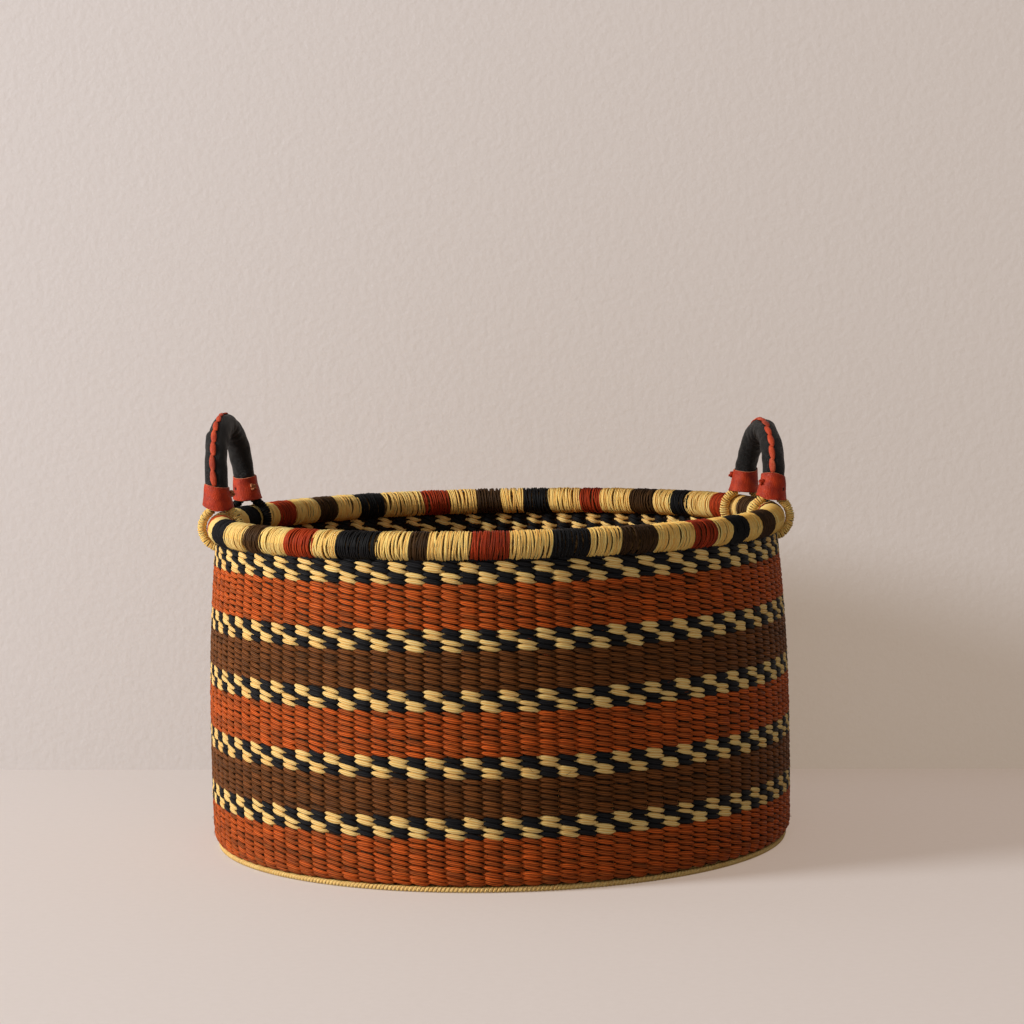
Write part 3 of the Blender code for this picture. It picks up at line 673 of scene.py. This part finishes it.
# closed turns round a path: each is a circle of its own radius in the plane square to the path,
# leaning along it by lean * sin(angle + phase) + curl * cos(2 angle + phase)
def windings(centre, outward, up, along, radius, lean, curl, phase, halfThick, halfWidth, samples, corners):
    angle = np.arange(samples) * turn / samples
    ring = radius[:, None]
    shift = lean[:, None] * np.sin(angle + phase[:, None]) + curl[:, None] * np.cos(2 * angle + phase[:, None])
    radial = outward[:, None] * np.cos(angle)[:, None] + up[:, None] * np.sin(angle)[:, None]
    line = centre[:, None] + radial * ring[..., None] + along[:, None] * shift[..., None]
    ahead = unit(np.roll(line, -1, 1) - np.roll(line, 1, 1))
    across = unit(np.cross(ahead, radial))
    return sections(line, np.cross(across, ahead), across, halfThick, halfWidth, grassOutline(corners))


def bindRim():
    edges = [*rim["edges"], 360]
    rng = np.random.default_rng(41)
    # black, cream, brown, cream, red, cream is one repeat
    repeat = [1, 0, 2, 0, 3, 0]
    pieces = {k: [] for k in range(9)}
    colours = {k: [] for k in range(9)}
    for number in range(54):
        low, high = np.radians(edges[number]), np.radians(edges[number + 1])
        count = max(4, round((high - low) * rim["radius"] / rim["pitch"]))
        share = (np.arange(count) + 0.5) / count
        azimuth = low + (high - low) * share + rng.normal(0, 0.10 * mm, count) / rim["radius"]
        outward = np.stack((np.cos(azimuth), np.sin(azimuth), np.zeros(count)), -1)
        along = np.stack((-np.sin(azimuth), np.cos(azimuth), np.zeros(count)), -1)
        up = np.broadcast_to(np.array([0.0, 0.0, 1.0]), (count, 3))
        centre = outward * rim["radius"] + up * rim["height"]
        radius = rim["coil"] + rim["swell"] * np.sin(math.pi * share) ** 0.6 + rng.normal(0, 0.12 * mm, count)
        radius -= rim["underlay"] * (np.arange(count) % 2)
        rings = windings(
            centre, outward, up, along, radius, rim["lean"] * rng.normal(1, 0.5, count),
            rng.normal(0, 0.3 * mm, count), rng.normal(0.4, 0.6, count), rim["halfThick"],
            rim["halfWidth"], rim["samples"], 5)
        pieces[number // 6].append(rings)
        colours[number // 6].append(np.full(count, repeat[number % 6]))
    for k in range(9):
        points = np.concatenate(pieces[k])
        slots = np.concatenate(colours[k])
        shade = rng.uniform(0, 1, len(points))
        item = strandObject(
            f"binding_{k + 1}", points, True, [rimCream, rimBlack, rimBrown, rimRed], shade,
            turn * rim["coil"] / rim["samples"], slots)
        place(item, "basket", "rim_binding", f"rim_wrap_{k + 1}")
    print("rim bound:", sum(len(p) for rows in pieces.values() for p in rows), "turns")


bindRim()
for node in ("rim_core", "left_grip_core", "right_grip_core"):
    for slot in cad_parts[node].material_slots:
        slot.material = coreStraw


# handles

handle = {
    "spread": 12.0, "facing": {"right": 9.0, "left": 171.0},  # degrees round the rim
    "lean": {"right": 5.5, "left": 4.5},  # degrees outwards
    "archFoot": 24.8 * mm, "archRise": {"right": 39.5 * mm, "left": 51.6 * mm},
    "cuffFoot": 16.8 * mm, "cuffTop": 33.4 * mm,
}
handle["halfSpan"] = rim["radius"] * math.sin(math.radians(handle["spread"]))
handle["reach"] = rim["radius"] * math.cos(math.radians(handle["spread"]))


# from a handle's own frame (x outwards, y along the line between its feet) to the basket's
def fromHandle(side, points):
    lean, facing = (math.radians(handle[key][side]) for key in ("lean", "facing"))
    tip = np.array([
        [math.cos(lean), 0, math.sin(lean)], [0, 1, 0], [-math.sin(lean), 0, math.cos(lean)]])
    spin = np.array([
        [math.cos(facing), -math.sin(facing), 0], [math.sin(facing), math.cos(facing), 0], [0, 0, 1]])
    return (points @ tip.T + (handle["reach"], 0, 0)) @ spin.T + (0, 0, rim["height"])


# turns at a cuff's foot and top
def cuffTurns(side):
    rise = handle["archRise"][side]
    low = (handle["cuffFoot"] - handle["archFoot"]) / rise
    return low, math.asin((handle["cuffTop"] - handle["archFoot"]) / rise)


# the grip's line: half an ellipse for turns 0 to pi, and straight down past its ends.
# Returns the centre, the way out of the bend and the way along.
def gripLine(side, turnRound):
    onArch = np.clip(turnRound, 0, math.pi)
    span, rise = handle["halfSpan"], handle["archRise"][side]
    zero = np.zeros_like(onArch)
    height = handle["archFoot"] + rise * (np.sin(onArch) - np.abs(turnRound - onArch))
    centre = np.stack((zero, -span * np.cos(onArch), height), -1)
    outward = unit(np.stack((zero, -rise * np.cos(onArch), span * np.sin(onArch)), -1))
    along = unit(np.stack((zero, span * np.sin(onArch), rise * np.cos(onArch)), -1))
    return centre, outward, along


# points round the grip: centre + radius * (outward * cos(angle) + x * sin(angle))
def roundGrip(side, turnRound, angle, radius):
    centre, outward, _ = gripLine(side, turnRound)
    sideways = np.sin(angle)[..., None] * np.array([1.0, 0.0, 0.0])
    return centre + radius[..., None] * (outward * np.cos(angle)[..., None] + sideways)


sleeve = {
    "radius": 8.5 * mm, "wall": 1.6 * mm, "steps": 132, "around": 56, "pressed": 0.35 * mm,
    "seamAt": {"right": -20.0, "left": 3.0},  # degrees from the top towards the outside
    "ridge": 0.9 * mm, "seam": 0.9 * mm, "crease": 0.6 * mm, "uneven": 0.2 * mm,
    # turn and side angle of a fold where the leather steps out, and how far
    "folds": {"right": [(0.92, -75.0, 0.5), (2.25, 110.0, 0.6)],
              "left": [(2.12, 80.0, 1.5), (1.15, -70.0, 0.5)]},
}


# A tube with both its walls: out along the outer one and back along the inner one. Its radius
# has a ridge and a groove under the lace, creases in the bend's hollow, folds and soft waves.
def dressSleeve(side, seed):
    rng = np.random.default_rng(seed)
    around = np.arange(sleeve["around"]) * turn / sleeve["around"]
    turnRound, angle = np.meshgrid(np.linspace(0.02, math.pi - 0.02, sleeve["steps"]), around, indexing="ij")
    fromSeam = wrapAngle(angle - math.radians(sleeve["seamAt"][side]))
    top = np.sin(turnRound) ** 5
    radius = sleeve["radius"] + sleeve["ridge"] * top * np.exp(-(fromSeam / 0.7) ** 2)
    radius -= sleeve["seam"] * np.exp(-(fromSeam / 0.12) ** 2)
    radius -= 0.7 * mm * top * np.clip(np.abs(np.sin(angle)) - 0.6, 0, 1)
    hollow = np.clip(0.55 - np.cos(angle), 0, 1) ** 1.3
    bend = np.exp(-((turnRound - math.pi / 2) / 0.8) ** 2)
    phase = rng.uniform(0, turn, 8)
    ripple = np.sin(26 * turnRound + 2.2 * np.sin(angle + phase[0]) + phase[1])
    ripple = np.abs(ripple) ** 0.6 * np.sign(ripple)
    radius += sleeve["crease"] * hollow * bend * (ripple - 0.3)
    for k, (first, second) in enumerate(((3, 1), (5, 2), (9, 3), (13, 2), (7, 4), (21, 3))):
        radius += sleeve["uneven"] * np.sin(first * turnRound + phase[k]) * np.sin(second * angle + phase[k + 2])
    for foldTurn, sideAngle, size in sleeve["folds"][side]:
        reach = np.exp(-(wrapAngle(angle - math.radians(sideAngle)) / 0.75) ** 2)
        lower = (turnRound - foldTurn) * (1 if foldTurn > math.pi / 2 else -1)
        step = smoothStep(-0.03, 0.05, lower) * np.exp(-np.clip(lower, 0, None) / 0.45)
        crease = np.exp(-((lower + 0.05) / 0.045) ** 2)
        radius += mm * size * reach * (step - 0.8 * crease)
    cuffTop = cuffTurns(side)[1]
    fromEnd = np.minimum(turnRound, math.pi - turnRound)
    radius -= sleeve["pressed"] * smoothStep(cuffTop + 0.06, cuffTop - 0.04, fromEnd)
    outer = roundGrip(side, turnRound, angle, radius)
    back = slice(None, None, -5)
    bore = np.full_like(angle[back], sleeve["radius"] - sleeve["wall"])
    inner = roundGrip(side, turnRound[back], angle[back], bore)
    points = fromHandle(side, np.concatenate((outer, inner)))[None]
    item = strandObject(side + "_grip", points, True, [blackLeather], 0.0, 1.5 * mm)
    place(item, side + "_handle", "black_leather", side + "_sleeve")


lace = {
    "stitches": {"right": 12, "left": 14}, "samples": 12, "corners": 10, "thin": 0.55 * mm, "thick": 1.15 * mm,
    "narrow": 1.35 * mm, "wide": 2.5 * mm, "slant": 0.10,
}


# One lens for each whip stitch: width and thickness follow the sine of the way through it, and
# its start lies over the end of the one before. The stitches are smaller over the top.
def dressLace(side, seed):
    rng = np.random.default_rng(seed)
    first = cuffTurns(side)[1] - 0.03
    stitches = lace["stitches"][side]
    steps = stitches * lace["samples"]
    turnRound = np.linspace(first, math.pi - first, steps + 1)
    share = np.arange(steps + 1) / lace["samples"]
    number = np.minimum(share.astype(int), stitches - 1)
    through = share - number
    own = rng.normal(0, 1, (3, stitches))[:, number]
    top = np.sin(turnRound) ** 4
    full = np.sin(math.pi * np.clip(through, 0, 1)) ** 0.8 * (1 - 0.42 * top) * (1 + 0.08 * own[0])
    wide = lace["narrow"] + (lace["wide"] - lace["narrow"]) * full
    thick = lace["thin"] + (lace["thick"] - lace["thin"]) * full
    slant = (lace["slant"] + 0.1 * top) * (0.5 - through) + 0.03 * own[1]
    angle = math.radians(sleeve["seamAt"][side]) + slant
    centre, outward, _ = gripLine(side, turnRound)
    toSide = np.array([1.0, 0.0, 0.0])
    direction = outward * np.cos(angle)[:, None] + toSide * np.sin(angle)[:, None]
    tucked = smoothStep(0, 0.06, np.minimum(turnRound - first, math.pi - first - turnRound))
    reach = sleeve["radius"] + 0.7 * sleeve["ridge"] * top + 0.3 * thick + 0.4 * mm * (1 - through) * tucked
    line = centre + direction * reach[:, None]
    run = unit(np.gradient(line, axis=0))
    across = unit(np.cross(run, direction))
    points = sections(line[None], np.cross(across, run)[None], across[None], thick, wide, grassOutline(lace["corners"]))
    item = strandObject(
        side + "_lacing", fromHandle(side, points), False, [laceLeather], 0.25 * own[2][None], 1.5 * mm)
    place(item, side + "_handle", "red_leather", side + "_lace")


cuff = {
    "footRadius": 11.3 * mm, "topRadius": 9.35 * mm, "wall": 1.0 * mm, "bore": 8.4 * mm,
    "overlap": 0.7 * mm, "steps": 30, "around": 96,
    "mostDrop": 3.5,
    # millimetres that the foot and the top hang under the solid's, and below that, in
    # degrees round the grip: the seam, the side that flares and by how much, where the lower edge
    # dips and by how much, where both edges hang low, and the slot that the thong goes through
    "each": {
        "right_a": {"seam": 12.0, "flareAt": -80.0, "flare": 1.1, "dip": (8.0, 3.0), "low": (60.0, 1.0),
                    "slot": (42.0, 0.5)},
        "right_b": {"seam": -60.0, "flareAt": -90.0, "flare": 1.1, "dip": (180.0, 3.0), "low": (-95.0, 1.4),
                    "slot": (30.0, 0.5)},
        "left_a": {"seam": 60.0, "flareAt": -90.0, "flare": 0.9, "dip": (180.0, 1.2), "low": (-95.0, 0.8),
                   "slot": (141.0, 0.48)},
        "left_b": {"seam": 130.0, "flareAt": 75.0, "flare": 1.2, "dip": (-8.0, 3.0), "low": (-75.0, 2.3),
                   "slot": (-110.0, 0.5)},
    },
    "lowered": {"right_a": (2.0, 1.2), "right_b": (2.4, 1.8), "left_a": (1.0, -1.0), "left_b": (-0.2, 1.0)},
}


# A sheet rolled round the grip's foot: its radius grows from the seam once round, so its end
# lies over its start. It flares towards the foot, and its two walls meet in rounded pale lips.
def dressCuff(side, letter, seed):
    rng = np.random.default_rng(seed)
    look = cuff["each"][f"{side}_{letter}"]
    inside = np.linspace(0.02, 0.985, cuff["around"] - 5)
    roundShare = np.concatenate(([0.0, 0.006], inside, [0.992, 0.9965, 0.9985]))
    outerWay = np.linspace(0.02, 0.98, cuff["steps"])
    way = np.concatenate((outerWay, [1.0], outerWay[::-4], [0.0]))
    depth = np.concatenate((np.zeros(cuff["steps"]), [0.5], np.ones(len(outerWay[::-4])), [0.5]))
    upShare, share = np.meshgrid(way, roundShare, indexing="ij")
    depthShare = np.broadcast_to(depth[:, None], share.shape)
    angle = math.radians(look["seam"]) + turn * share
    toFlare = 0.5 + 0.5 * np.cos(angle - math.radians(look["flareAt"]))
    radius = cuff["footRadius"] + (cuff["topRadius"] - cuff["footRadius"]) * upShare
    radius += cuff["overlap"] * (share - 0.5) + mm * look["flare"] * toFlare ** 2 * np.exp(-upShare / 0.4)
    phase = rng.uniform(0, turn, 4)
    for k, (first, second) in enumerate(((3, 2), (7, 3), (11, 1), (5, 5))):
        radius += 0.11 * mm * np.sin(first * upShare + phase[k]) * np.sin(second * angle - phase[k])
    slotAngle, slotHeight = look["slot"]
    slot = np.exp(-(wrapAngle(angle - math.radians(slotAngle)) / 0.11) ** 4 - ((upShare - slotHeight) / 0.055) ** 4)
    radius -= 1.1 * mm * slot * (1 - depthShare)
    radius = np.maximum(radius - cuff["wall"] * depthShare, cuff["bore"])
    dipAt, dip = look["dip"]
    lowAt, low = look["low"]
    drop = dip * (0.5 + 0.5 * np.cos(2 * (angle - math.radians(dipAt)))) * (1 - upShare) ** 1.5
    drop += low * np.cos(angle - math.radians(lowAt)) + 0.35 * np.sin(2 * angle + phase[0]) * upShare
    foot, top = cuffTurns(side)
    footDrop, topDrop = cuff["lowered"][f"{side}_{letter}"]
    drop += footDrop + (topDrop - footDrop) * upShare
    drop = np.minimum(drop, cuff["mostDrop"])  # clear of the rim's binding
    turnRound = foot + (top - foot) * upShare - drop * mm / handle["archRise"][side]
    if letter == "b":  # the far end of the arch: the same sheet, mirrored, with its rings reversed
        turnRound = math.pi - turnRound
    points = roundGrip(side, turnRound, angle, radius)
    lip = (depthShare > 0.2) & (depthShare < 0.8)
    nearLip = np.clip(1 - np.minimum(upShare, 1 - upShare) / 0.07, 0, 1) * (depthShare < 0.2) * 0.45
    ending = smoothStep(0.985, 0.997, share) * 0.3
    # pale lips and cut edges, and painted shade: the slot that the thong goes through is dark in colour as well as
    # pressed in
    shade = np.where(lip, 1.0, np.maximum(nearLip, ending)) - 1.6 * slot * (depthShare < 0.2)
    if letter == "b":
        points, shade = points[::-1], shade[::-1]
    item = strandObject(
        f"{side}_cuff_skin_{letter}", fromHandle(side, points[None]), True, [redLeather], shade[None], 1 * mm)
    place(item, f"{side}_handle", "red_leather", f"{side}_cuff_{letter}")


knot = {
    "turns": {"right": (200.0, 160.0), "left": (136.0, 200.0)}, "size": 0.72 * mm,
    "thong": 0.8 * mm, "reach": 10.8 * mm, "below": 3.2 * mm, "samples": 54, "corners": 8,
}


# the thong tied in a trefoil that lies flat on the cuff: (sin t + 2 sin 2t, cos t - 2 cos 2t,
# -sin 3t), with a stem that goes in through the cuff and a short tail
def dressKnot(side, letter, seed):
    rng = np.random.default_rng(seed)
    middle = cuffTurns(side)[1] / 2
    centre, _, along = gripLine(side, np.array(middle if letter == "a" else math.pi - middle))
    knotTurn = math.radians(knot["turns"][side]["ab".index(letter)])
    upward = along if letter == "a" else -along
    toSide = np.array([1.0, 0.0, 0.0])
    direction = toSide * math.cos(knotTurn) + np.cross(upward, toSide) * math.sin(knotTurn)
    level = unit(np.cross(upward, direction))
    centre = centre - upward * knot["below"]
    place0 = centre + direction * knot["reach"]
    t = np.arange(knot["samples"]) * turn / knot["samples"]
    spin = rng.uniform(0, turn)
    x = np.sin(t) + 2 * np.sin(2 * t)
    y = np.cos(t) - 2 * np.cos(2 * t)
    x, y = x * math.cos(spin) - y * math.sin(spin), x * math.sin(spin) + y * math.cos(spin)
    line = place0 + knot["size"] * (
        x[:, None] * level + y[:, None] * upward - 1.25 * np.sin(3 * t)[:, None] * direction)
    run = unit(np.roll(line, -1, 0) - np.roll(line, 1, 0))
    out = unit(line - place0 + direction * 0.4 * mm)
    across = unit(np.cross(run, out))
    thick = knot["thong"] * (1 + 0.1 * np.sin(3 * t + spin))
    points = sections(
        line[None], np.cross(across, run)[None], across[None], thick, thick * 1.15, grassOutline(knot["corners"]))
    finish = thongLeather if side == "left" else redLeather
    item = strandObject(
        f"{side}_tie_{letter}", fromHandle(side, points), True, [finish], 0.2, 1 * mm)
    place(item, f"{side}_handle", "red_leather", f"{side}_knot_{letter}")
    # stem and tail: one strand from inside the cuff out past the knot, thinning to its end
    way = np.linspace(0, 1, 14)[:, None]
    stemFoot = centre + direction * 8.9 * mm
    swing = level * rng.choice([-1.0, 1.0]) * 2.2 * mm - upward * 1.8 * mm
    line = stemFoot + direction * 4.0 * mm * np.sin(way * math.pi * 0.62) + swing * way ** 2
    run = unit(np.gradient(line, axis=0))
    across = unit(np.cross(run, np.broadcast_to(upward, run.shape)))
    taper = knot["thong"] * (1 - 0.55 * way[:, 0] ** 2)
    points = sections(
        line[None], np.cross(across, run)[None], across[None], taper, taper, grassOutline(6))
    tail = strandObject(f"{side}_tail_{letter}", fromHandle(side, points), False, [finish], 0.3, 1 * mm)
    place(tail, f"{side}_handle", "red_leather")


loop = {
    "ring": 15.2 * mm, "legSpread": 5.0 * mm, "bend": 6.0 * mm, "top": 24.0 * mm,
    "core": 2.5 * mm, "coil": 2.6 * mm, "fuller": 0.25 * mm,
    "pitch": 1.66 * mm, "halfWidth": 0.84 * mm, "halfThick": 0.8 * mm, "blackDownTo": -14.0 * mm,
}


# down the outer leg, round the rim and up the inner leg, as points at even distances:
# a straight leg, a fillet, the ring, and the same two mirrored
def loopLine(pitch):
    spread, ring, bend = loop["legSpread"], loop["ring"], loop["bend"]
    across = spread + bend
    height = math.sqrt((ring + bend) ** 2 - across ** 2)
    meet = math.atan2(across, height)
    fillet = np.linspace(0, math.pi / 2 - meet, 14)
    filletX, filletZ = across - bend * np.cos(fillet), height - bend * np.sin(fillet)
    hoop = np.linspace(meet, turn - meet, 150)[1:-1]
    x = np.concatenate(([spread], filletX, ring * np.sin(hoop), -filletX[::-1], [-spread]))
    z = np.concatenate(([loop["top"]], filletZ, ring * np.cos(hoop), filletZ[::-1], [loop["top"]]))
    travelled = np.concatenate(([0], np.cumsum(np.hypot(np.diff(x), np.diff(z)))))
    count = round(travelled[-1] / pitch)
    at = (np.arange(count) + 0.5) * travelled[-1] / count
    line = np.stack((np.interp(at, travelled, x), np.zeros(count), np.interp(at, travelled, z)), -1)
    return line, unit(np.gradient(line, axis=0))


def dressLoop(side, letter, seed):
    rng = np.random.default_rng(seed)
    line, along = loopLine(loop["pitch"])
    foot = np.array([0.0, -handle["halfSpan"] if letter == "a" else handle["halfSpan"], 0.0])
    chord = np.broadcast_to(np.array([0.0, 1.0, 0.0]), line.shape)
    outward = np.cross(along, chord)
    count = len(line)
    onRing = smoothStep(19 * mm, 11 * mm, line[:, 2])
    coil = loop["coil"] + loop["fuller"] * onRing + rng.normal(0, 0.09 * mm, count)
    turns = windings(
        line + foot, outward, chord, along, coil, 0.45 * mm * rng.normal(1, 0.3, count),
        rng.normal(0, 0.11 * mm, count), rng.normal(0.4, 0.6, count), loop["halfThick"],
        loop["halfWidth"], 14, 5)
    slots = np.zeros(count, int)
    if (side, letter) == ("left", "a"):
        slots = (line[:, 2] > loop["blackDownTo"]).astype(int)
    item = strandObject(
        f"{side}_foot_{letter}", fromHandle(side, turns), True, [rimCream, rimBlack],
        rng.uniform(0, 1, count), 1.3 * mm, slots)
    place(item, f"{side}_handle", "straw", f"{side}_loop_{letter}")
    line, along = loopLine(2.0 * mm)
    chord = chord[:1] + 0 * line
    points = sections(
        (line + foot)[None], np.cross(along, chord)[None], -chord[None], loop["core"], loop["core"], grassOutline(8))
    core = strandObject(
        f"{side}_foot_core_{letter}", fromHandle(side, points), False, [rimBrown], 0.3, 2 * mm)
    place(core, f"{side}_handle", "straw")


for number, side in enumerate(("right", "left")):
    dressSleeve(side, 60 + number)
    dressLace(side, 70 + number)
    for letter in "ab":
        seed = 80 + 10 * number + "ab".index(letter)
        dressCuff(side, letter, seed)
        dressKnot(side, letter, seed + 2)
        dressLoop(side, letter, seed + 4)
print("handles dressed")
